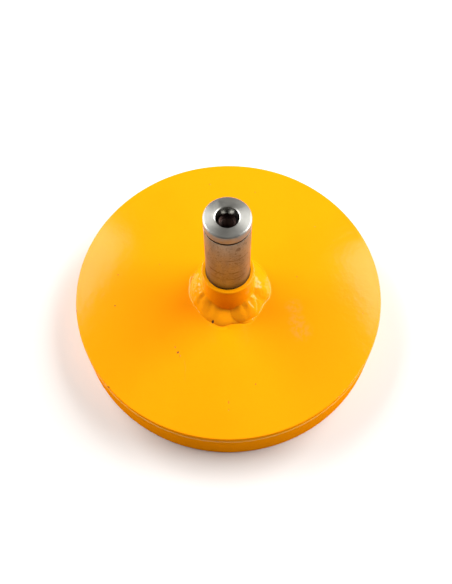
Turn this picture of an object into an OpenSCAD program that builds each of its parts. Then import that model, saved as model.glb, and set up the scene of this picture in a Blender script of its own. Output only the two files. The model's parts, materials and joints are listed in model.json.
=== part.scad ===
// Banding wheel: a steel head plate on an upright spindle that turns on two
// ball bearings in a low welded drum base.
// Millimetres. +Z is up, the spin axis is Z and the drum stands on z = 0.

/* [Head plate] */
// Diameter of the head plate
head_d = 219; // [200:1:240]
// Thickness of the head plate
head_t = 4; // [4:0.5:8]
// Radius of the head plate's upper edge
head_edge_r = 0.9; // [0.3:0.1:1.5]
// Running gap between the head plate and the drum
running_gap = 1; // [0.8:0.1:2]

/* [Drum base] */
// Outside diameter of the drum's rim
rim_d = 219.1; // [200:0.1:240]
// Wall of the rim
rim_t = 6.3; // [4:0.1:8]
// Height of the rim
rim_h = 28; // [27:0.5:29]
// Radius of the rim's upper outer edge
rim_edge_r = 2; // [0.5:0.1:2]
// Thickness of the floor plate
floor_t = 4; // [4:0.5:5]
// Height of the floor plate above the bench
floor_z = 2; // [1.5:0.5:2]
// Leg of the stitch welds inside the rim
stitch_leg = 4; // [3:0.5:5]
// Number of stitch welds
stitch_count = 6; // [4:1:8]
// Arc that each stitch weld covers, in degrees
stitch_arc = 30; // [20:1:40]

/* [Spindle] */
// Diameter of the bare upper journal
journal_d = 30; // [28:0.5:32]
// Height of the spindle's end above the head plate
spindle_reach = 98.5; // [80:0.5:120]
// Distance from the spindle's end to the middle of the ring groove
groove_from_end = 7.6; // [6:0.1:10]
// Width of the ring groove
groove_w = 1.6; // [1.3:0.1:2.2]
// Depth of the ring groove
groove_depth = 0.7; // [0.5:0.1:1]
// Chamfer at the spindle's end
end_chamfer = 0.8; // [0.5:0.1:1.5]
// Tap drill diameter of the M10 thread in the spindle's end
tap_d = 8.5; // [8:0.1:9]
// Depth of the tapped hole
tap_depth = 30; // [24:1:40]

/* [Hub] */
// Outside diameter of the hub collar
collar_d = 36.5; // [35:0.5:40]
// Height of the collar above the head plate
collar_h = 31.5; // [20:0.5:40]
// Chamfer at the collar's upper edge
collar_chamfer = 0.8; // [0.4:0.1:1.2]
// Width of the hub weld on the plate
weld_w = 10.6; // [6:0.1:12]
// Height of the hub weld on the collar
weld_h = 10; // [4:0.1:14]
// Depth of the hub weld's bed in the plate
weld_bite = 0.3; // [0.2:0.1:1]

/* [Bearings] */
// Bore of each ball bearing
bearing_bore = 25; // [24:0.5:25]
// Outside diameter of each ball bearing
bearing_od = 37; // [37:0.5:38]
// Width of each ball bearing
bearing_w = 7; // [6.5:0.1:7]
// Diameter of a ball
ball_d = 3.5; // [3:0.1:3.6]
// Number of balls in a bearing
ball_count = 14; // [8:1:16]
// Length of the spacers between the two bearings
spacer_len = 5; // [3:0.5:5]

/* [Bearing housing] */
// Outside diameter of the housing's body
housing_d = 48; // [46:1:56]
// Thickness of the housing's flange
flange_t = 5; // [5:0.5:7]
// Number of flange screws
screw_count = 4; // [3:1:6]
// Nominal diameter of a flange screw
screw_d = 5; // [4:1:5]

/* [Hidden] */
$fn = 96;

// Radial gap left between pieces that are pressed together or bolted up.
fit = 0.02;
// Gap around the head and shank of a flange screw.
screw_gap = 0.06;
// Radius of the small broken edges.
edge = 0.5;

// Outer radius of the hub weld.
weld_r = collar_d / 2 + weld_w;

// Heights of the rotating head, from the bench up.
head_z = rim_h + running_gap;
head_top = head_z + head_t;
spindle_top = head_top + spindle_reach;
collar_top = head_top + collar_h;

// Heights of the bearing stack, from the bench up.
housing_z = 1.5;
lip_t = 3;
lower_z = housing_z + lip_t;
spacer_z = lower_z + bearing_w;
upper_z = spacer_z + spacer_len;
stack_top = upper_z + bearing_w;
housing_top = stack_top + 2.8;
lower_mid = lower_z + bearing_w / 2;
upper_mid = upper_z + bearing_w / 2;

// Bearing sections.
pitch_r = (bearing_bore + bearing_od) / 4;
race_r = ball_d / 2 + 0.06;
inner_land_r = pitch_r - 1.1;
outer_land_r = pitch_r + 1.1;
cage_t = 0.8;
cage_w = 5;
seal_t = 0.6;
seal_recess = 0.2;

// Retaining rings: an outer ring on the spindle, an inner ring in the housing.
clip_t = 1.2;
clip_slot = clip_t + 0.1;
clip_eye_r = 0.9;
clip_gap = 4.4;
spindle_groove_r = bearing_bore / 2 - 0.55;
housing_groove_r = bearing_od / 2 + 1;
lip_hole_r = bearing_od / 2 - 2;

// Spindle sections below the collar's top: the seat in the collar is a little
// larger than the bare journal, and an abutment rests on the upper bearing.
spindle_z = 1.9;
seat_r = journal_d / 2 + 0.3;
seat_z = head_z - 0.7;
abutment_r = bearing_bore / 2 + 1.5;

// Centre hole in the spindle's end, to DIN 332 form DS for an M10 thread.
guard_r = 8.15;
cone_top_r = 7.45;
pilot_r = 5.25;
guard_depth = 0.4;
cone_depth = guard_depth + (cone_top_r - pilot_r) / tan(30);
pilot_depth = 7.5;
drill_tip = tap_d / 2 * tan(30);

// Countersunk socket screws that hold the housing's flange to the floor.
floor_top = floor_z + floor_t;
screw_r = screw_d / 2;
screw_head_r = screw_d * 0.96;
screw_head_land = 0.4;
screw_len = floor_t + flange_t - 1;
screw_circle_r = housing_d / 2 + screw_head_r + 1.2;
flange_r = screw_circle_r + screw_r + 3.5;
socket_af = 3;
socket_depth = 1.8;

paint = "orange";
bare_steel = "silver";
bearing_steel = "lightgray";

// Points of an arc about c, from angle a0 to angle a1, in n steps.
function arc(c, r, a0, a1, n = 8) =
    [for (i = [0 : n]) let (a = a0 + (a1 - a0) * i / n) c + r * [cos(a), sin(a)]];

// A ring of rectangular section from z0 to z1.
module ring(r_in, r_out, z0, z1) {
    translate([0, 0, z0])
    difference() {
        cylinder(r = r_out, h = z1 - z0);
        translate([0, 0, -1]) cylinder(r = r_in, h = z1 - z0 + 2);
    }
}

// The torus that the balls run in.
module race(mid_z) {
    translate([0, 0, mid_z]) rotate_extrude() translate([pitch_r, 0]) circle(r = race_r, $fn = 48);
}

module each_ball(mid_z) {
    for (i = [0 : ball_count - 1])
        rotate([0, 0, i * 360 / ball_count]) translate([pitch_r, 0, mid_z]) children();
}

module each_screw() {
    for (i = [0 : screw_count - 1])
        rotate([0, 0, 45 + i * 360 / screw_count]) translate([screw_circle_r, 0, 0]) children();
}

// ---- rotating head ----

module head_plate() {
    r = head_d / 2;
    low = 0.4;
    hole_r = collar_d / 2 + fit;
    bed_r = weld_r + fit;
    color(paint)
    rotate_extrude()
    polygon(concat(
        [[hole_r, head_z], [r - low, head_z]],
        arc([r - low, head_z + low], low, -90, 0, 4),
        arc([r - head_edge_r, head_top - head_edge_r], head_edge_r, 0, 90),
        [[bed_r, head_top], [bed_r, head_top - weld_bite], [hole_r, head_top - weld_bite]]
    ));
}

module hub_collar() {
    r = collar_d / 2;
    hole_r = seat_r + fit;
    color(paint)
    rotate_extrude()
    polygon(concat(
        [[hole_r, head_z], [r, head_z]],
        arc([r - collar_chamfer, collar_top - collar_chamfer], collar_chamfer, 0, 90, 4),
        [[hole_r, collar_top]]
    ));
}

// A convex fillet between the collar and the plate, bedded in the plate.
module hub_weld() {
    r = collar_d / 2 + fit;
    color(paint)
    rotate_extrude()
    polygon(concat(
        [[r, head_top - weld_bite + fit], [weld_r, head_top - weld_bite + fit]],
        [for (a = [0 : 7.5 : 90]) [r + (weld_r - r) * pow(cos(a), 0.8), head_top + weld_h * sin(a)]]
    ));
}

module spindle() {
    r = journal_d / 2;
    b = bearing_bore / 2;
    groove_z = spindle_top - groove_from_end - groove_w / 2;
    bore_z = spindle_top - tap_depth;
    clip_z = lower_z - clip_t;
    color(bare_steel)
    rotate_extrude()
    polygon([
        [0, spindle_z], [b - edge, spindle_z], [b, spindle_z + edge],
        [b, clip_z - 0.05], [spindle_groove_r, clip_z - 0.05],
        [spindle_groove_r, lower_z + 0.05], [b, lower_z + 0.05],
        [b, stack_top], [abutment_r, stack_top], [abutment_r, seat_z],
        [seat_r - edge, seat_z], [seat_r, seat_z + edge],
        [seat_r, collar_top], [r, collar_top],
        [r, groove_z], [r - groove_depth, groove_z],
        [r - groove_depth, groove_z + groove_w], [r, groove_z + groove_w],
        [r, spindle_top - end_chamfer], [r - end_chamfer, spindle_top],
        [guard_r, spindle_top], [cone_top_r, spindle_top - guard_depth],
        [pilot_r, spindle_top - cone_depth], [pilot_r, spindle_top - pilot_depth],
        [tap_d / 2, spindle_top - pilot_depth], [tap_d / 2, bore_z],
        [0, bore_z - drill_tip]
    ]);
}

module inner_ring(z, mid_z) {
    color(bearing_steel)
    difference() {
        ring(bearing_bore / 2 + fit / 2, inner_land_r, z, z + bearing_w);
        race(mid_z);
    }
}

module inner_spacer() {
    color(bearing_steel)
    ring(bearing_bore / 2 + fit, inner_land_r - 0.2, spacer_z, upper_z);
}

// The open end of a retaining ring, where its lugs face each other.
module clip_opening() {
    translate([0, -clip_gap / 2]) square([2 * bearing_od, clip_gap]);
}

// Outer retaining ring with two lugs, on the spindle under the lower bearing.
module spindle_circlip() {
    body_r = spindle_groove_r + 2.4;
    lug_r = 1.9;
    lug_at = spindle_groove_r + 1.8;
    lug_angle = 15;
    color("dimgray")
    translate([0, 0, lower_z - clip_t])
    linear_extrude(clip_t)
    difference() {
        union() {
            circle(r = body_r);
            for (a = [-lug_angle, lug_angle]) rotate(a) translate([lug_at, 0]) circle(r = lug_r, $fn = 32);
        }
        circle(r = spindle_groove_r + fit);
        clip_opening();
        for (a = [-lug_angle, lug_angle])
            rotate(a) translate([lug_at + 0.2, 0]) circle(r = clip_eye_r, $fn = 24);
    }
}

// ---- drum base ----

module base_rim() {
    r = rim_d / 2;
    r_in = r - rim_t;
    foot = 1;
    color(paint)
    rotate_extrude()
    polygon(concat(
        [[r_in, 0], [r - foot, 0]],
        arc([r - foot, foot], foot, -90, 0, 4),
        arc([r - rim_edge_r, rim_h - rim_edge_r], rim_edge_r, 0, 90),
        [[r_in + edge, rim_h], [r_in, rim_h - edge]]
    ));
}

module base_floor() {
    color(paint)
    difference() {
        ring(housing_d / 2 + fit, rim_d / 2 - rim_t - fit, floor_z, floor_top);
        each_screw() translate([0, 0, floor_z - 0.01]) screw_shape(screw_gap);
    }
}

// Short fillets between the floor plate and the rim, on the inside.
module rim_stitch_welds() {
    r = rim_d / 2 - rim_t - fit;
    bulge = 0.78;
    color(paint)
    for (i = [0 : stitch_count - 1])
        rotate([0, 0, i * 360 / stitch_count])
        rotate_extrude(angle = stitch_arc)
        polygon([
            [r, floor_top + fit], [r, floor_top + stitch_leg],
            [r - stitch_leg * (1 - bulge), floor_top + stitch_leg * bulge],
            [r - stitch_leg * bulge, floor_top + stitch_leg * (1 - bulge)],
            [r - stitch_leg, floor_top + fit]
        ]);
}

module bearing_housing() {
    r = housing_d / 2;
    bore_r = bearing_od / 2;
    color("gray")
    difference() {
        rotate_extrude()
        polygon([
            [lip_hole_r, housing_z], [r - edge, housing_z], [r, housing_z + edge],
            [r, floor_top + fit], [flange_r, floor_top + fit],
            [flange_r, floor_top + flange_t - edge], [flange_r - edge, floor_top + flange_t],
            [r, floor_top + flange_t],
            [r, housing_top - edge], [r - edge, housing_top],
            [bore_r + edge, housing_top], [bore_r, housing_top - edge],
            [bore_r, stack_top + clip_slot], [housing_groove_r, stack_top + clip_slot],
            [housing_groove_r, stack_top], [bore_r, stack_top],
            [bore_r, lower_z], [lip_hole_r, lower_z]
        ]);
        each_screw() translate([0, 0, floor_top - 1]) cylinder(r = screw_r + fit, h = flange_t + 2);
    }
}

// Head and shank of a countersunk screw, grown by extra for its hole.
module screw_shape(extra = 0) {
    cone = screw_head_r - screw_r;
    cylinder(r = screw_head_r + extra, h = screw_head_land + extra);
    translate([0, 0, screw_head_land]) cylinder(r1 = screw_head_r + extra, r2 = screw_r + extra, h = cone);
    cylinder(r = screw_r + extra, h = screw_len);
}

module housing_screws() {
    color("dimgray")
    each_screw()
    translate([0, 0, floor_z + fit])
    difference() {
        screw_shape();
        translate([0, 0, -1]) cylinder(r = socket_af / 2 / cos(30), h = socket_depth + 1, $fn = 6);
    }
}

module outer_ring(z, mid_z) {
    color(bearing_steel)
    difference() {
        ring(outer_land_r, bearing_od / 2 - fit / 2, z, z + bearing_w);
        race(mid_z);
    }
}

module outer_spacer() {
    color(bearing_steel)
    ring(outer_land_r + 0.2, bearing_od / 2 - fit, spacer_z, upper_z);
}

// Inner retaining ring with two lugs, in the housing above the upper bearing.
module housing_circlip() {
    body_r = housing_groove_r - 2.6;
    lug_r = 1.7;
    lug_at = housing_groove_r - 2.5;
    lug_angle = 13;
    color("dimgray")
    translate([0, 0, stack_top])
    linear_extrude(clip_t)
    difference() {
        union() {
            difference() {
                circle(r = housing_groove_r - fit);
                circle(r = body_r);
            }
            for (a = [-lug_angle, lug_angle]) rotate(a) translate([lug_at, 0]) circle(r = lug_r, $fn = 32);
        }
        clip_opening();
        for (a = [-lug_angle, lug_angle])
            rotate(a) translate([lug_at, 0]) circle(r = clip_eye_r, $fn = 24);
    }
}

// The pair of rubber seals in a bearing's two faces.
module seals(z) {
    gap = 0.1;
    low = z + seal_recess;
    high = z + bearing_w - seal_recess - seal_t;
    color([0.08, 0.08, 0.09])
    for (s = [low, high]) ring(inner_land_r + gap, outer_land_r - fit, s, s + seal_t);
}

// Pressed cap that closes the housing's lower hole.
module dust_cap() {
    wall = 0.8;
    cap_z = housing_z - wall;
    color(paint)
    union() {
        translate([0, 0, cap_z]) cylinder(r = lip_hole_r + 1.5, h = wall - fit);
        ring(lip_hole_r - wall, lip_hole_r - fit, cap_z, housing_z + 1.4);
    }
}

// ---- rolling elements ----

module ball_cage(mid_z) {
    color("goldenrod")
    difference() {
        ring(pitch_r - cage_t / 2, pitch_r + cage_t / 2, mid_z - cage_w / 2, mid_z + cage_w / 2);
        each_ball(mid_z) rotate([0, 90, 0]) cylinder(r = race_r, h = 4, center = true);
    }
}

module balls(mid_z) {
    color("white")
    each_ball(mid_z) sphere(r = ball_d / 2, $fn = 48);
}

head_plate();
hub_collar();
hub_weld();
spindle();
inner_ring(upper_z, upper_mid);  // upper_inner_ring
inner_ring(lower_z, lower_mid);  // lower_inner_ring
inner_spacer();
spindle_circlip();
base_rim();
base_floor();
rim_stitch_welds();
bearing_housing();
housing_screws();
outer_ring(upper_z, upper_mid);  // upper_outer_ring
outer_ring(lower_z, lower_mid);  // lower_outer_ring
outer_spacer();
housing_circlip();
seals(upper_z);  // upper_bearing_seals
seals(lower_z);  // lower_bearing_seals
dust_cap();
ball_cage(upper_mid);  // upper_ball_cage
balls(upper_mid);  // upper_balls
ball_cage(lower_mid);  // lower_ball_cage
balls(lower_mid);  // lower_balls
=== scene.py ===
import json
import math

import bmesh
import bpy
from mathutils import Matrix, Vector, noise


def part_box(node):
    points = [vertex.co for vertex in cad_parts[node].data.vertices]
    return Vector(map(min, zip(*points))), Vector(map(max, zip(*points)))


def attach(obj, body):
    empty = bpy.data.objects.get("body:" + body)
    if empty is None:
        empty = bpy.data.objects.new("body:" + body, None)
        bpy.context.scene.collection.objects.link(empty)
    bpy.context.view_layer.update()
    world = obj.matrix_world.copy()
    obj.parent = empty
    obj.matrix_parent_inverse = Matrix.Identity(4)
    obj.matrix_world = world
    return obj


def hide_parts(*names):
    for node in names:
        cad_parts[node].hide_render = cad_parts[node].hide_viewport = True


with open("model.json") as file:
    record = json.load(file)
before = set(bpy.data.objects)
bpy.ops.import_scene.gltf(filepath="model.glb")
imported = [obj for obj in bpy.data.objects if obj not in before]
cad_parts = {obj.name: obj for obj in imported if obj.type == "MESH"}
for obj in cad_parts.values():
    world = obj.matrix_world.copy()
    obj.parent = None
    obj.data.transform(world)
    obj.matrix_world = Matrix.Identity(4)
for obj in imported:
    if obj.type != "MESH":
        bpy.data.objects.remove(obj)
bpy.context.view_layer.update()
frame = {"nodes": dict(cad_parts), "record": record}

# The looks of a banding wheel: a painted steel head on a bare spindle, over a welded drum base.
# Metres, in the frame's own axes: +Z up the spin axis, the bench at z = 0.

MM = 0.001
TURN = 2 * math.pi

# Places and sizes that come from the frame.
PLATE_LOW, PLATE_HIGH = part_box("head_plate")
_, RIM_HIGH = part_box("base_rim")
COLLAR_LOW, COLLAR_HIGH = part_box("hub_collar")
WELD_LOW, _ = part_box("hub_weld")
SPINDLE_LOW, SPINDLE_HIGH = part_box("spindle")
CLIP_LOW, CLIP_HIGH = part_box("spindle_circlip")
UPPER_RING_LOW, UPPER_RING_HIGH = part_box("upper_inner_ring")
_, FLOOR_PLATE_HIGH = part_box("base_floor")

PLATE_TOP = PLATE_HIGH.z
PLATE_R = PLATE_HIGH.x
COLLAR_R = COLLAR_HIGH.x
SEAT_R = SPINDLE_HIGH.x
SEAT_TOP = COLLAR_HIGH.z
END_Z = SPINDLE_HIGH.z

# The spindle's journal is a little thinner than its seat in the collar.
SEAT_STEP = 0.3 * MM
JOURNAL_R = SEAT_R - SEAT_STEP
# Gap between fitted pieces.
FIT = 0.02 * MM


# ---- meshes ----

def new_piece(name, points, faces, sharp=40):
    """A mesh object with smooth shading that breaks at edges sharper than `sharp` degrees."""
    mesh = bpy.data.meshes.new(name)
    mesh.from_pydata(points, [], faces)
    mesh.update()
    tidy = bmesh.new()
    tidy.from_mesh(mesh)
    bmesh.ops.recalc_face_normals(tidy, faces=tidy.faces)
    tidy.to_mesh(mesh)
    tidy.free()
    mesh.shade_smooth()
    mesh.set_sharp_from_angle(angle=math.radians(sharp))
    piece = bpy.data.objects.new(name, mesh)
    bpy.context.scene.collection.objects.link(piece)
    return piece


def lathe(name, outline, steps=240, shape=None, sharp=40):
    """Spins an outline of (radius, height) points about Z. A closed outline makes a ring; one that
    starts and ends on the axis makes a solid. shape(r, z, angle) may change a point's radius."""
    solid = outline[0][0] == 0
    rows, points = [], []
    for r, z in outline:
        if r == 0:
            rows.append([len(points)] * steps)
            points.append((0, 0, z))
            continue
        rows.append(list(range(len(points), len(points) + steps)))
        for i in range(steps):
            a = TURN * i / steps
            radius = shape(r, z, a) if shape else r
            points.append((radius * math.cos(a), radius * math.sin(a), z))
    pairs = list(zip(rows, rows[1:])) + ([] if solid else [(rows[-1], rows[0])])
    faces = []
    for low, high in pairs:
        for i in range(steps):
            j = (i + 1) % steps
            corners = [low[i], low[j], high[j], high[i]]
            faces.append(list(dict.fromkeys(corners)))
    return new_piece(name, points, faces, sharp)


def rounded(corners, steps=5):
    """An outline of corners given as (radius, height, rounding). A rounding of 0 leaves a corner sharp."""
    made = []
    for i, (r, z, own) in enumerate(corners):
        here = Vector((r, z))
        if own == 0:
            made.append(tuple(here))
            continue
        before = (Vector(corners[i - 1][:2]) - here).normalized()
        after = (Vector(corners[(i + 1) % len(corners)][:2]) - here).normalized()
        half = before.angle(after) / 2
        reach = own / math.tan(half)
        middle = here + (before + after).normalized() * own / math.sin(half)
        first, last = here + before * reach, here + after * reach
        sweep = (first - middle).angle_signed(last - middle)
        start = first - middle
        for k in range(steps + 1):
            turned = start.copy()
            turned.rotate(Matrix.Rotation(-sweep * k / steps, 2))
            made.append(tuple(middle + turned))
    return made


def place(piece, body, slot, *nodes):
    """Rides a piece on its body and lets it stand for CAD nodes."""
    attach(piece, body)
    if nodes:
        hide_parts(*nodes)
    return piece


# ---- materials ----

class Nodes:
    """A material's node tree, with short calls for the nodes used here."""

    def __init__(self, name):
        self.material = bpy.data.materials.new(name)
        self.material.use_nodes = True
        self.tree = self.material.node_tree
        self.tree.nodes.clear()
        self.output = self.tree.nodes.new("ShaderNodeOutputMaterial")
        self.shader = self.tree.nodes.new("ShaderNodeBsdfPrincipled")
        self.link(self.shader.outputs["BSDF"], self.output.inputs["Surface"])
        self.place = self.tree.nodes.new("ShaderNodeTexCoord").outputs["Object"]

    def link(self, source, target):
        self.tree.links.new(source, target)

    def put(self, socket, value):
        """Sets a socket from a number, a colour or another node's output."""
        if isinstance(value, bpy.types.NodeSocket):
            self.link(value, socket)
        elif isinstance(value, (tuple, list)) and len(value) == 3 and len(socket.default_value) == 4:
            socket.default_value = (*value, 1)
        else:
            socket.default_value = value

    def set(self, **values):
        """Sets the shader's sockets: base_color=..., roughness=..."""
        names = {s.name.lower().replace(" ", "_"): s for s in self.shader.inputs}
        for key, value in values.items():
            self.put(names[key], value)

    def math(self, operation, a, b=0.0, c=0.0):
        node = self.tree.nodes.new("ShaderNodeMath")
        node.operation = operation
        for socket, value in zip(node.inputs, (a, b, c)):
            self.put(socket, value)
        return node.outputs[0]

    def noise(self, scale, detail=2.0, rough=0.5, place=None, distortion=0.0):
        node = self.tree.nodes.new("ShaderNodeTexNoise")
        self.put(node.inputs["Vector"], place or self.place)
        node.inputs["Scale"].default_value = scale
        node.inputs["Detail"].default_value = detail
        node.inputs["Roughness"].default_value = rough
        node.inputs["Distortion"].default_value = distortion
        return node.outputs["Fac"]

    def ramp(self, value, low, high):
        """Eases from 0 at low to 1 at high, or from 1 down to 0 if low is above high."""
        node = self.tree.nodes.new("ShaderNodeMapRange")
        node.interpolation_type = "SMOOTHSTEP"
        self.put(node.inputs["Value"], value)
        node.inputs["From Min"].default_value = low
        node.inputs["From Max"].default_value = high
        if low > high:
            node.inputs["From Min"].default_value = high
            node.inputs["From Max"].default_value = low
            node.inputs["To Min"].default_value = 1
            node.inputs["To Max"].default_value = 0
        return node.outputs["Result"]

    def mix(self, share, a, b):
        """Colour a where share is 0 and colour b where it is 1."""
        node = self.tree.nodes.new("ShaderNodeMix")
        node.data_type = "RGBA"
        colours = [s for s in node.inputs if s.type == "RGBA"]
        self.put(node.inputs["Factor"], share)
        self.put(colours[0], a)
        self.put(colours[1], b)
        return next(s for s in node.outputs if s.type == "RGBA")

    def stretched(self, x, y, z):
        """Object coordinates scaled along each axis."""
        node = self.tree.nodes.new("ShaderNodeMapping")
        self.link(self.place, node.inputs["Vector"])
        node.inputs["Scale"].default_value = (x, y, z)
        return node.outputs["Vector"]

    def axis(self, name):
        node = self.tree.nodes.new("ShaderNodeSeparateXYZ")
        self.link(self.place, node.inputs["Vector"])
        return node.outputs[name]

    def radius(self):
        """Distance from the spin axis."""
        x, y = self.axis("X"), self.axis("Y")
        return self.math("SQRT", self.math("ADD", self.math("MULTIPLY", x, x), self.math("MULTIPLY", y, y)))

    def distance(self, point):
        node = self.tree.nodes.new("ShaderNodeVectorMath")
        node.operation = "DISTANCE"
        self.link(self.place, node.inputs[0])
        node.inputs[1].default_value = point
        return node.outputs["Value"]

    def oval(self, centre, wide, long):
        """1 on the edge of an upright oval seen from above, less inside it and more outside."""
        node = self.tree.nodes.new("ShaderNodeVectorMath")
        node.operation = "MULTIPLY_ADD"
        self.put(node.inputs[0], self.place)
        node.inputs[1].default_value = (1 / wide, 1 / long, 0)
        node.inputs[2].default_value = (-centre[0] / wide, -centre[1] / long, 0)
        size = self.tree.nodes.new("ShaderNodeVectorMath")
        size.operation = "LENGTH"
        self.put(size.inputs[0], node.outputs["Vector"])
        return size.outputs["Value"]

    def bump(self, height, strength, distance, normal=None):
        node = self.tree.nodes.new("ShaderNodeBump")
        self.put(node.inputs["Height"], height)
        node.inputs["Strength"].default_value = strength
        node.inputs["Distance"].default_value = distance
        if normal:
            self.link(normal, node.inputs["Normal"])
        return node.outputs["Normal"]

    def lathe_grain(self, amount):
        """Spreads reflections across turning marks, which run around the spin axis."""
        self.set(anisotropic=amount, anisotropic_rotation=0.25)
        tangent = self.tree.nodes.new("ShaderNodeTangent")
        tangent.direction_type = "RADIAL"
        tangent.axis = "Z"
        self.link(tangent.outputs["Tangent"], self.shader.inputs["Tangent"])


# Marks in the head plate's paint: x, y, half width and half length in millimetres, and how dark.
MARKS = [
    (-80, 14, 0.6, 0.6, 0.8), (-81, -11, 0.7, 0.6, 0.8), (17.5, -71.5, 0.5, 0.6, 0.7),
    (50, 10, 0.5, 0.4, 0.8), (-35.5, -47.5, 1.0, 0.9, 0.8), (-37.5, -43.5, 0.5, 0.9, 0.5),
    (-34, -50, 0.6, 0.8, 0.4), (-1, -84, 0.6, 1.2, 0.4), (-1, -89, 0.5, 0.7, 0.3),
    (22, 84, 0.4, 0.4, 0.6), (-108.5, -14.5, 0.7, 0.9, 1.0),
    (-82.5, -72, 1.1, 0.8, 1.0), (-50, 22, 0.4, 0.5, 0.5), (-30.5, -60, 0.22, 9, 0.14),
    (66, 52, 0.4, 0.5, 0.5), (-13, 92, 0.5, 0.4, 0.5), (95, -20, 0.5, 0.4, 0.5),
]
# A pit at the toe of the hub weld.
WELD_PIT = [(-11.2, -25.2, 0.9, 0.9, 1.0)]
# Rubbed patches in the plate's paint: x, y and radius, in millimetres.
HAZE = [(46.5, -14, 8), (48, -25, 8), (50.5, -33, 10)]

# The enamel's darker and lighter tone on flat plate, on the hub and on the drum's rounded edge. The hub's
# and the edge's tones are lighter copies of the same enamel, painted light.
FLAT_TONES = (0.86, 0.268, 0.0010), (0.89, 0.285, 0.0014)
# The hub's tones are a lighter copy of the plate's enamel: painted light on the collar and the weld.
HUB_LIGHTENED_TONES = (0.88, 0.300, 0.0010), (0.91, 0.330, 0.0016)
# The edge's tones are lighter still: a painted highlight along the drum's rounded top corner.
EDGE_HIGHLIGHT_TONES = (0.95, 0.390, 0.0040), (0.97, 0.420, 0.0050)
FINE_TONE = (0.74, 0.20, 0.001)
DUST_TONE = (0.60, 0.14, 0.003)
CHIP_TONE = (0.10, 0.04, 0.012)
RUBBED_TONE = (0.86, 0.270, 0.028)


def paint(name, shine, marks=(), haze=(), tones=FLAT_TONES):
    """Gloss orange enamel over steel: drifting tone, orange peel, fine dust, and chips down to primer."""
    m = Nodes(name)
    tone = m.ramp(m.noise(14, 3), 0.35, 0.65)
    fine = m.ramp(m.noise(900, 2), 0.3, 0.7)
    colour = m.mix(tone, *tones)
    colour = m.mix(m.math("MULTIPLY", fine, 0.10), colour, FINE_TONE)
    dust = m.ramp(m.noise(260, 4, 0.7), 0.70, 0.76)
    colour = m.mix(m.math("MULTIPLY", dust, 0.35), colour, DUST_TONE)
    ragged = m.math("MULTIPLY", m.noise(1400, 2, 0.6), 0.9)
    worn = None
    for x, y, wide, long, depth in marks:
        off = m.math("ADD", m.oval((x * MM, y * MM), wide * MM, long * MM), ragged)
        mark = m.math("MULTIPLY", m.ramp(off, 1.5, 1.2), depth)
        worn = mark if worn is None else m.math("MAXIMUM", worn, mark)
    rough = m.math("MULTIPLY_ADD", m.noise(40, 3), 0.05, 0.09)
    if worn is not None:
        colour = m.mix(worn, colour, CHIP_TONE)
        rough = m.math("MULTIPLY_ADD", worn, 0.4, rough)
    cloudy = m.ramp(m.noise(300, 4, 0.65), 0.40, 0.60)
    for x, y, size in haze:
        near = m.ramp(m.distance((x * MM, y * MM, PLATE_TOP)), size * MM, 0.25 * size * MM)
        rubbed = m.math("MULTIPLY", near, cloudy)
        colour = m.mix(m.math("MULTIPLY", rubbed, 0.8), colour, RUBBED_TONE)
    coarse_peel = m.noise(130, 2, 0.45)
    fine_peel = m.math("MULTIPLY", m.noise(340, 2, 0.5), 0.6)
    peel = m.math("MULTIPLY_ADD", coarse_peel, 0.6, fine_peel)
    normal = m.bump(peel, 0.6, 0.18 * MM)
    if worn is not None:
        normal = m.bump(worn, 0.8, -0.15 * MM, normal)
    m.set(base_color=colour, roughness=rough, normal=normal, specular_ior_level=shine)
    return m.material


def turned(name, base, stain, rough, anisotropy, stain_amount):
    """Steel turned on a lathe: fine rings around the axis, patches of stain and rings of wear."""
    m = Nodes(name)
    radius, height = m.radius(), m.axis("Z")
    across = m.math("ADD", radius, height)
    rings = m.tree.nodes.new("ShaderNodeTexNoise")
    rings.noise_dimensions = "1D"
    m.put(rings.inputs["W"], across)
    rings.inputs["Scale"].default_value = 2600
    rings.inputs["Detail"].default_value = 3
    ring = rings.outputs["Fac"]
    patch = m.ramp(m.noise(70, 4, 0.62, distortion=0.6), 0.38, 0.68)
    colour = m.mix(m.math("MULTIPLY", patch, stain_amount), base, stain)
    shaded = m.math("MULTIPLY", m.ramp(ring, 0.35, 0.75), 0.22)
    colour = m.mix(shaded, colour, tuple(0.55 * c for c in base))
    grime = m.math("MULTIPLY", patch, 0.12)
    m.set(base_color=colour, metallic=1.0)
    m.set(roughness=m.math("ADD", m.math("MULTIPLY_ADD", ring, 0.08, rough), grime))
    m.lathe_grain(anisotropy)
    m.set(normal=m.bump(ring, 0.35, 0.02 * MM))
    return m.material


# Rings of wear on the journal: height, half width and depth of tone, in millimetres and 0 to 1.
WEAR_RINGS = [(86.2, 0.5, 0.8), (103.0, 0.45, 0.75), (94.5, 0.3, 0.4), (78.0, 0.6, 0.4)]
# The small blemish on the journal, in millimetres.
BLEMISH = (6.5, -13.5, 115.5)


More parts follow.
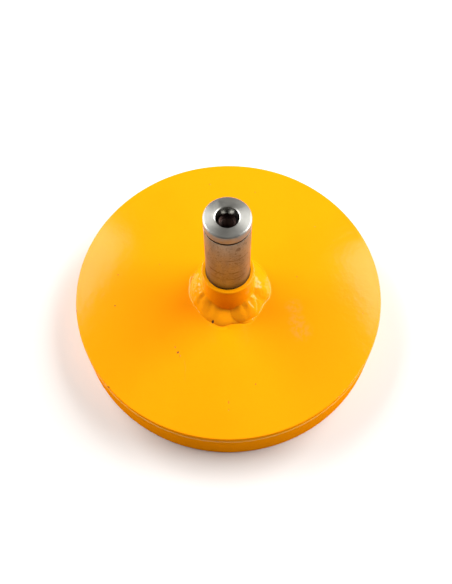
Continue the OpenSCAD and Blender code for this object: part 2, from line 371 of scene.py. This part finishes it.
def journal(name):
    """Bare ground steel gone tan: speckled, with rings of wear, a stain low down and a small blemish."""
    m = Nodes(name)
    height = m.axis("Z")
    cloud = m.ramp(m.noise(95, 4, 0.6, m.stretched(1, 1, 0.45)), 0.3, 0.7)
    colour = m.mix(cloud, (0.275, 0.29, 0.26), (0.21, 0.205, 0.17))
    speck = m.ramp(m.noise(750, 4, 0.75), 0.54, 0.66)
    colour = m.mix(m.math("MULTIPLY", speck, 0.85), colour, (0.05, 0.035, 0.025))
    top = m.ramp(height, END_Z - 7.5 * MM, END_Z - 6 * MM)
    colour = m.mix(m.math("MULTIPLY", top, 0.8), colour, (0.25, 0.29, 0.31))
    ragged = m.math("MULTIPLY_ADD", m.noise(260, 3), 1.6 * MM, -0.8 * MM)
    level = m.math("ADD", height, ragged)
    for middle, half, depth in WEAR_RINGS:
        off = m.math("ABSOLUTE", m.math("SUBTRACT", level, middle * MM))
        band = m.ramp(off, 1.6 * half * MM, 0.4 * half * MM)
        patchy = m.math("MULTIPLY", band, m.ramp(m.noise(120, 2), 0.35, 0.6))
        colour = m.mix(m.math("MULTIPLY", patchy, depth), colour, (0.06, 0.04, 0.03))
    uneven = m.math("ADD", height, m.math("MULTIPLY", ragged, 3.0))
    foot = m.ramp(uneven, SEAT_TOP + 8 * MM, SEAT_TOP + 1 * MM)
    colour = m.mix(m.math("MULTIPLY", foot, 0.7), colour, (0.075, 0.062, 0.030))
    apart = m.distance(tuple(value * MM for value in BLEMISH))
    blemish = m.ramp(m.math("ADD", apart, ragged), 2.6 * MM, 1.0 * MM)
    colour = m.mix(m.math("MULTIPLY", blemish, 0.6), colour, (0.06, 0.045, 0.035))
    fine = m.noise(2600, 2, 0.5, m.stretched(0.06, 0.06, 1))
    m.set(base_color=colour, metallic=m.math("MULTIPLY_ADD", top, -0.32, 0.90))
    m.set(roughness=m.math("ADD", m.math("MULTIPLY_ADD", fine, 0.08, 0.26), m.math("MULTIPLY", cloud, 0.08)))
    m.lathe_grain(0.35)
    m.set(normal=m.bump(fine, 0.3, 0.02 * MM))
    return m.material


def plain_metal(name, base, rough, speck=0.3):
    """Plated or blackened metal with a mottled surface."""
    m = Nodes(name)
    mottle = m.ramp(m.noise(180, 4, 0.6), 0.3, 0.7)
    colour = m.mix(m.math("MULTIPLY", mottle, speck), base, tuple(0.5 * c for c in base))
    m.set(base_color=colour, metallic=1.0)
    m.set(roughness=m.math("MULTIPLY_ADD", mottle, 0.15, rough))
    m.set(normal=m.bump(m.noise(1500, 2), 0.2, 0.02 * MM))
    return m.material


def matt(name, dark, light, shine):
    """Rubber or caked dirt: dull, faintly mottled and grainy."""
    m = Nodes(name)
    mottle = m.noise(300, 3)
    m.set(base_color=m.mix(mottle, dark, light), specular_ior_level=shine)
    m.set(roughness=m.math("MULTIPLY_ADD", mottle, 0.2, 0.5))
    m.set(normal=m.bump(m.noise(2500, 2), 0.3, 0.02 * MM))
    return m.material


PLATE_PAINT = paint("plate_enamel", 0.18, MARKS, HAZE)
# The hub and collar enamel use the lighter tones, painting in light on the collar and the weld.
HUB_PAINT = paint("hub_enamel", 0.30, WELD_PIT, tones=HUB_LIGHTENED_TONES)
COLLAR_PAINT = paint("collar_enamel", 0.11, tones=HUB_LIGHTENED_TONES)
# A lighter enamel for the drum's top corner: a painted highlight along it.
EDGE_HIGHLIGHT_PAINT = paint("edge_enamel", 0.30, tones=EDGE_HIGHLIGHT_TONES)
DRUM_PAINT = paint("drum_enamel", 0.0)
FACE_STEEL = turned("faced_end_steel", (0.45, 0.445, 0.415), (0.38, 0.36, 0.31), 0.33, 0.60, 0.35)
# A darker copy of the turned steel for the centre hole's cone: painted shade inside the hole.
CONE_SHADE_STEEL = turned("centre_hole_steel", (0.30, 0.30, 0.28), (0.20, 0.17, 0.14), 0.06, 0.2, 0.4)
JOURNAL_STEEL = journal("journal_steel")
# A much darker copy of the turned steel: painted shade in the tapped bore and the ring groove.
BORE_SHADE_STEEL = turned("bore_steel", (0.13, 0.092, 0.080), (0.07, 0.045, 0.038), 0.24, 0.2, 0.5)
HOUSING_STEEL = turned("housing_steel", (0.46, 0.45, 0.44), (0.30, 0.26, 0.22), 0.34, 0.4, 0.4)
RACE_STEEL = turned("race_steel", (0.66, 0.66, 0.67), (0.50, 0.49, 0.47), 0.18, 0.3, 0.2)
SPRING_STEEL = plain_metal("phosphated_spring_steel", (0.10, 0.10, 0.11), 0.42)
BLACK_STEEL = plain_metal("black_oxide_steel", (0.07, 0.07, 0.075), 0.38)
ZINC_STEEL = plain_metal("zinc_plated_steel", (0.62, 0.63, 0.65), 0.30, 0.2)
CAGE_BRASS = plain_metal("cage_brass", (0.72, 0.50, 0.22), 0.30, 0.2)
SEAL_RUBBER = matt("seal_rubber", (0.012, 0.012, 0.013), (0.03, 0.03, 0.032), 0.5)
SEAT_GRIME = matt("seat_grime", (0.05, 0.02, 0.006), (0.12, 0.05, 0.01), 0.1)

FINISH = {
    "orange_paint": DRUM_PAINT, "turned_steel": HOUSING_STEEL, "bearing_steel": RACE_STEEL,
    "spring_steel": SPRING_STEEL, "black_steel": BLACK_STEEL, "seal_rubber": SEAL_RUBBER,
    "zinc_steel": ZINC_STEEL, "cage_brass": CAGE_BRASS,
}


def finish_cad_nodes():
    """Gives each CAD node the material of its slot."""
    slots = {s["node"]: s["material_slot"] for s in frame["record"]["subparts"]}
    for node, piece in frame["nodes"].items():
        piece.data.materials.clear()
        piece.data.materials.append(FINISH[slots[node]])


# ---- pieces ----

def head_disc():
    """The head plate: flat, with a soft painted upper edge."""
    hole, top, low = COLLAR_R, PLATE_TOP, PLATE_LOW.z
    level = 0.7
    corners = [
        (hole, low, 0), (PLATE_R, low, 0.4 * MM), (PLATE_R, top, 0.7 * MM), (hole, top, 0),
    ]
    piece = lathe("head_disc", rounded(corners), 360)
    piece.data.materials.append(PLATE_PAINT)
    piece.data.materials.append(DRUM_PAINT)
    for face in piece.data.polygons:
        if face.normal.z < level:
            face.material_index = 1
    return place(piece, "head", "orange_paint", "head_plate")


def drum_rim():
    """The drum's rim: a slice of thick pipe with a rounded upper corner."""
    outer, top = RIM_HIGH.x, RIM_HIGH.z
    inner = FLOOR_PLATE_HIGH.x + FIT
    shoulder = outer - 1.9 * MM
    corners = [
        (inner, 0, 0.5 * MM), (outer, 0, 1.0 * MM), (outer, top, 1.7 * MM), (inner, top, 0.5 * MM),
    ]
    piece = lathe("drum_rim", rounded(corners), 360)
    piece.data.materials.append(DRUM_PAINT)
    piece.data.materials.append(EDGE_HIGHLIGHT_PAINT)
    # The rounded upper corner takes the lighter edge enamel: a painted highlight along the rim.
    for face in piece.data.polygons:
        if 0.1 < face.normal.z < 0.95 and face.center.to_2d().length > shoulder:
            face.material_index = 1
    return place(piece, "base", "orange_paint", "base_rim")


def collar():
    """The hub collar, with its upper corners rounded by the paint."""
    corners = [
        (SEAT_R + FIT, COLLAR_LOW.z, 0), (COLLAR_R, COLLAR_LOW.z, 0),
        (COLLAR_R, COLLAR_HIGH.z, 0.9 * MM), (SEAT_R + FIT, COLLAR_HIGH.z, 0.25 * MM),
    ]
    piece = lathe("collar_tube", rounded(corners), 180)
    piece.data.materials.append(COLLAR_PAINT)
    return place(piece, "head", "orange_paint", "hub_collar")


# The weld around the collar: angle in degrees from +X, then how far its toe reaches from the spin
# axis and how high it climbs the collar, in millimetres.
SKIRT = [
    (-178, 27.8, 13.4), (-160, 27.2, 12.4), (-149, 26.6, 10.6), (-122, 27.8, 7.6), (-101, 29.0, 5.2),
    (-84, 26.8, 4.8), (-62, 28.0, 6.4), (-44, 28.4, 8.4), (-27, 27.6, 10.4), (-4, 30.2, 12.8),
    (37, 30.0, 12.0), (75, 28.8, 9.4), (110, 28.2, 9.4), (144, 27.9, 12.0), (182, 27.8, 13.4),
]
# Puddles on the weld: angle, distance of the middle from the axis, half width out from the axis, half
# length along the bead and height over the bead, in millimetres, and how soft the edge is.
PUDDLES = [
    (-104, 23.6, 6.6, 9.6, 0.8, 1.2), (-58, 22.2, 7.2, 10.4, 2.1, 0.55), (-12, 23.5, 6.2, 6.0, 0.5, 0.8),
    (12, 24.0, 6.2, 6.0, 0.7, 0.6), (42, 23.0, 6.6, 6.6, 0.5, 0.8), (95, 22.0, 6.8, 8.6, 0.6, 0.8),
    (160, 22.5, 6.4, 8.0, 0.5, 0.8),
]


def skirt_at(degrees):
    """Reach and height of the weld at an angle, eased between its listed places."""
    for (a, reach, height), (b, next_reach, next_height) in zip(SKIRT, SKIRT[1:]):
        if a <= degrees <= b:
            share = (1 - math.cos(math.pi * (degrees - a) / (b - a))) / 2
            return reach + (next_reach - reach) * share, height + (next_height - height) * share
    return SKIRT[0][1:]


def weld_height(r, angle):
    """Height of the bead above the plate at a radius in millimetres and an angle."""
    base = COLLAR_R / MM
    first = SKIRT[0][0]
    degrees = (math.degrees(angle) - first) % 360 + first
    reach, height = skirt_at(degrees)
    top = height * max(0.0, 1 - ((r - base) / (reach - base)) ** 1.15) ** 0.62
    extra = 0.0
    for middle, out, wide, long, high, soft in PUDDLES:
        off = (degrees - middle + 180) % 360 - 180
        share = 1 - ((r - out) / wide) ** 2 - (math.radians(off) * r / long) ** 2
        extra = max(extra, high * max(0.0, share) ** soft)
    return top + extra


def lumps(spot, angle):
    """Unevenness of the bead in millimetres, stronger at the two sides than in front and behind."""
    coarse = noise.noise(spot * 230) * 0.50 + noise.noise(spot * 480) * 0.20
    return (coarse + noise.noise(spot * 950) * 0.05) * (0.12 + 0.88 * math.cos(angle) ** 2)


def weld():
    """The weld bead as one lumpy skin from the collar's wall down to its toe, with paint in the toe."""
    turns, rings, pool_rings = 540, 44, 6
    pool, pool_reach = 0.32, 0.26
    fillet, fillet_reach = 1.2, 0.7
    toe_step, pool_step = 0.05, 0.25
    base, bed = COLLAR_R + FIT, WELD_LOW.z
    points, faces = [], []
    for i in range(turns):
        angle = TURN * i / turns
        toe = base / MM
        while weld_height(toe + toe_step, angle) > 0:
            toe += toe_step
        out = Vector((math.cos(angle), math.sin(angle), 0))
        points.append(out * base + Vector((0, 0, bed)))
        for k in range(rings + pool_rings + 1):
            across = math.sin(math.pi / 2 * min(1, k / rings))
            r = base / MM + (toe - base / MM) * across + pool_step * max(0, k - rings)
            spot = out * r * MM
            fade = min(1.0, 4 * max(0, rings - k) / rings)
            height = weld_height(r, angle) if k < rings else 0
            height += lumps(spot + Vector((0, 0, height * MM)), angle) * fade
            height = max(0.0, height) + pool * abs(math.cos(angle)) * math.exp(-abs(r - toe) / pool_reach)
            height += fillet * math.exp(-(r - base / MM) / fillet_reach)
            points.append(spot + Vector((0, 0, PLATE_TOP + height * MM)))
        points.append(spot + Vector((0, 0, bed)))
    column = rings + pool_rings + 3
    for i in range(turns):
        here, there = i * column, (i + 1) % turns * column
        for k in range(column):
            up = (k + 1) % column
            faces.append((here + k, there + k, there + up, here + up))
    piece = new_piece("hub_weld_bead", points, faces, 70)
    piece.data.materials.append(HUB_PAINT)
    return place(piece, "head", "orange_paint", "hub_weld")


# The tapped centre hole in the spindle's end.
GUARD_R, GUARD_DEPTH = 8.15 * MM, 0.4 * MM
CONE_R, PILOT_R = 7.45 * MM, 5.25 * MM
CONE_DEPTH = GUARD_DEPTH + (CONE_R - PILOT_R) / math.tan(math.radians(30))
PILOT_DEPTH = 7.5 * MM
THREAD_R, THREAD_PITCH, THREAD_CUT = 4.25 * MM, 1.5 * MM, 0.75 * MM
THREAD_SLOPE, THREAD_LAND = 1.25, 0.12
THREAD_TOP = END_Z - PILOT_DEPTH
THREAD_END = END_Z - 29 * MM
BORE_END = END_Z - 30 * MM


def thread(r, z, angle):
    """Cuts the M10 thread's helix into the bore."""
    if abs(r - THREAD_R) > 0.01 * MM or not THREAD_END < z < THREAD_TOP:
        return r
    phase = (z / THREAD_PITCH - angle / TURN) % 1.0
    flank = 1 - abs(2 * phase - 1)
    lead = min(1.0, (THREAD_TOP - z) / THREAD_PITCH, (z - THREAD_END) / THREAD_PITCH)
    return r + THREAD_CUT * lead * max(0.0, min(1.0, THREAD_SLOPE * flank - THREAD_LAND))


def spindle():
    """The spindle: bare journal with a ring groove, tapped centre hole, seat and lower journal."""
    low, play, ring_wall = SPINDLE_LOW.z, 0.05 * MM, 1.9 * MM
    lower_r = -UPPER_RING_LOW.x - ring_wall
    shoulder_r = lower_r + 1.5 * MM
    groove_r = lower_r - 0.55 * MM
    shoulder = UPPER_RING_HIGH.z
    ring_z, ring_half, ring_cut = END_Z - 7.6 * MM, 0.8 * MM, 0.7 * MM
    seat_z = PLATE_LOW.z - 0.7 * MM
    outside = [
        (0, low, 0), (lower_r, low, 0.5 * MM),
        (lower_r, CLIP_LOW.z - play, 0), (groove_r, CLIP_LOW.z - play, 0),
        (groove_r, CLIP_HIGH.z + play, 0), (lower_r, CLIP_HIGH.z + play, 0),
        (lower_r, shoulder, 0), (shoulder_r, shoulder, 0.2 * MM), (shoulder_r, seat_z, 0),
        (SEAT_R, seat_z, 0.5 * MM), (SEAT_R, SEAT_TOP, 0.05 * MM), (JOURNAL_R, SEAT_TOP, 0),
        (JOURNAL_R, ring_z - ring_half, 0.12 * MM), (JOURNAL_R - ring_cut, ring_z - ring_half, 0),
        (JOURNAL_R - ring_cut, ring_z + ring_half, 0), (JOURNAL_R, ring_z + ring_half, 0.12 * MM),
        (JOURNAL_R, END_Z - 0.8 * MM, 0.15 * MM), (JOURNAL_R - 0.8 * MM, END_Z, 0.15 * MM),
        (GUARD_R, END_Z, 0.12 * MM), (CONE_R, END_Z - GUARD_DEPTH, 0.1 * MM),
        (PILOT_R, END_Z - CONE_DEPTH, 0.1 * MM), (PILOT_R, THREAD_TOP, 0), (THREAD_R, THREAD_TOP, 0),
    ]
    outline = rounded(outside, 3)
    rows = int((THREAD_TOP - THREAD_END) / THREAD_PITCH * 10)
    step = (THREAD_TOP - THREAD_END) / rows
    outline += [(THREAD_R, THREAD_TOP - step * i) for i in range(1, rows + 1)]
    outline += [(THREAD_R, BORE_END), (0, BORE_END - THREAD_R * math.tan(math.radians(30)))]
    piece = lathe("spindle_shaft", outline, 160, thread, 35)
    for material in (JOURNAL_STEEL, FACE_STEEL, BORE_SHADE_STEEL, CONE_SHADE_STEEL, SEAT_GRIME):
        piece.data.materials.append(material)
    end_face, bore, cone, seat = 1, 2, 3, 4
    for face in piece.data.polygons:
        centre = face.center
        reach = math.hypot(centre.x, centre.y)
        if centre.z > END_Z - 0.9 * MM and reach > CONE_R - 0.3 * MM:
            face.material_index = end_face
        # The cone takes the darker steel, painted shade inside the centre hole.
        elif reach < CONE_R and centre.z > END_Z - CONE_DEPTH - 0.1 * MM:
            face.material_index = cone
        # The bore and the ring groove take the dark bore steel, which paints in their shade.
        elif reach < PILOT_R + 0.1 * MM and centre.z > BORE_END - 5 * MM:
            face.material_index = bore
        elif reach < JOURNAL_R - 0.3 * MM and abs(centre.z - ring_z) < ring_half * 1.2:
            face.material_index = bore
        elif reach > JOURNAL_R + 0.05 * MM and centre.z > SEAT_TOP - 0.1 * MM:
            face.material_index = seat
    return place(piece, "head", "turned_steel", "spindle")


# ---- studio ----

def studio_floor():
    """The bench: a pale round top under the object."""
    m = Nodes("studio_floor")
    m.set(base_color=m.mix(m.noise(3, 2), (0.735, 0.715, 0.695), (0.72, 0.70, 0.68)), roughness=0.85)
    reach, steps = 0.42, 128
    turns = [TURN * i / steps for i in range(steps)]
    ring = [(reach * math.cos(a), reach * math.sin(a), 0) for a in turns]
    piece = new_piece("studio_floor", ring, [tuple(range(steps))])
    piece.data.materials.append(m.material)


def softbox(name, side, turn, lift, far, watts):
    """A large square soft light beside and a little behind the object. side is -1 for left, 1 for right;
    turn is its angle behind that side and lift its angle above the bench, in degrees."""
    size = 1.36
    turn, lift = math.radians(turn), math.radians(lift)
    light = bpy.data.lights.new(name, "AREA")
    light.shape = "SQUARE"
    light.size = size
    light.energy = watts
    lamp = bpy.data.objects.new(name, light)
    bpy.context.scene.collection.objects.link(lamp)
    way = Vector((side * math.cos(turn) * math.cos(lift), math.sin(turn) * math.cos(lift), math.sin(lift)))
    lamp.location = way * far + Vector((0, 0, PLATE_TOP))
    lamp.rotation_mode = "QUATERNION"
    lamp.rotation_quaternion = (-way).to_track_quat("-Z", "Y")


def studio_air():
    """A dim room for reflections and a pale one behind the object."""
    world = bpy.data.worlds.new("studio")
    bpy.context.scene.world = world
    world.use_nodes = True
    tree = world.node_tree
    tree.nodes.clear()
    output = tree.nodes.new("ShaderNodeOutputWorld")
    mix = tree.nodes.new("ShaderNodeMixShader")
    ray = tree.nodes.new("ShaderNodeLightPath")
    dim = tree.nodes.new("ShaderNodeBackground")
    pale = tree.nodes.new("ShaderNodeBackground")
    dim.inputs["Color"].default_value = (1.0, 0.95, 0.87, 1)
    dim.inputs["Strength"].default_value = 0.14
    pale.inputs["Color"].default_value = (1, 1, 1, 1)
    pale.inputs["Strength"].default_value = 1.0
    tree.links.new(ray.outputs["Is Camera Ray"], mix.inputs["Fac"])
    tree.links.new(dim.outputs["Background"], mix.inputs[1])
    tree.links.new(pale.outputs["Background"], mix.inputs[2])
    tree.links.new(mix.outputs["Shader"], output.inputs["Surface"])


def camera():
    """Above and in front, looking down on the head at about 64 degrees."""
    data = bpy.data.cameras.new("camera")
    data.lens = 45.83
    data.sensor_width = 36
    piece = bpy.data.objects.new("camera", data)
    bpy.context.scene.collection.objects.link(piece)
    at = Vector((-1.0 * MM, -239.3 * MM, PLATE_TOP + 479.1 * MM))
    aim = Vector((-1.6 * MM, -1.4 * MM, PLATE_TOP))
    roll = math.radians(-1.06)
    facing = (aim - at).to_track_quat("-Z", "Y").to_matrix() @ Matrix.Rotation(roll, 3, "Z")
    piece.matrix_world = Matrix.Translation(at) @ facing.to_4x4()
    bpy.context.scene.camera = piece


finish_cad_nodes()
head_disc()
drum_rim()
collar()
weld()
spindle()
studio_floor()
softbox("softbox_left", -1, 27.2, 33.8, 1.47, 38)
softbox("softbox_right", 1, 18.4, 36.4, 1.44, 44)
studio_air()
camera()
bpy.context.scene.view_settings.view_transform = "Standard"
